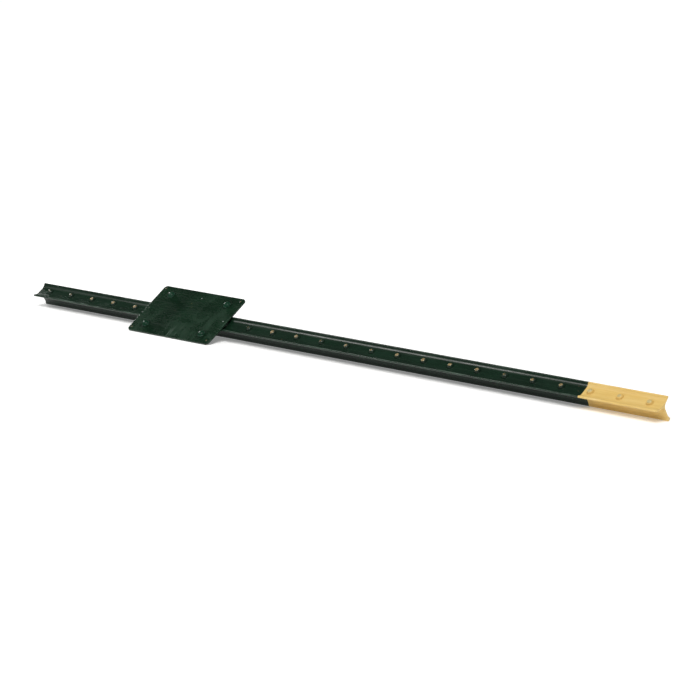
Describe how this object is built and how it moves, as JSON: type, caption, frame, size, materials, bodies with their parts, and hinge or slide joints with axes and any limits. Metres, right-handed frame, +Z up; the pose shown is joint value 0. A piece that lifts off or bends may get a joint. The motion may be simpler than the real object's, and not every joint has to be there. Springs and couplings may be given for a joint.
{
  "type": "studded steel fence post",
  "caption": "Rolled steel fence post of studded tee section, with an anchor plate riveted near its bottom end, enamelled dark green with a cream top end.",
  "frame": {"origin": "centre of the footprint, on the surface that the post lies on", "axes": "+X along the post from its bottom end to its top end; +Z up; the studded face looks up and towards -Y, tilted 33.0 degrees, because the web's bead and the plate's lower edge both touch the surface"},
  "size_m": [1.372, 0.098, 0.0651],
  "materials": {
    "post_enamel": "dark green enamel with a soft gloss, and a cream top end; the stud tips are worn to tan",
    "plate_enamel": "dark green enamel with pale scuffs and rubbed edges",
    "strip_enamel": "dark green enamel",
    "rivet_enamel": "glossy dark green enamel over a domed steel head"
  },
  "bodies": {
    "root": {"post": "post_enamel", "anchor_plate": "plate_enamel", "clamp_strip_lower": "strip_enamel", "clamp_strip_upper": "strip_enamel", "rivet_bottom_lower": "rivet_enamel", "rivet_bottom_upper": "rivet_enamel", "rivet_top_lower": "rivet_enamel", "rivet_top_upper": "rivet_enamel"}
  },
  "joints": []
}
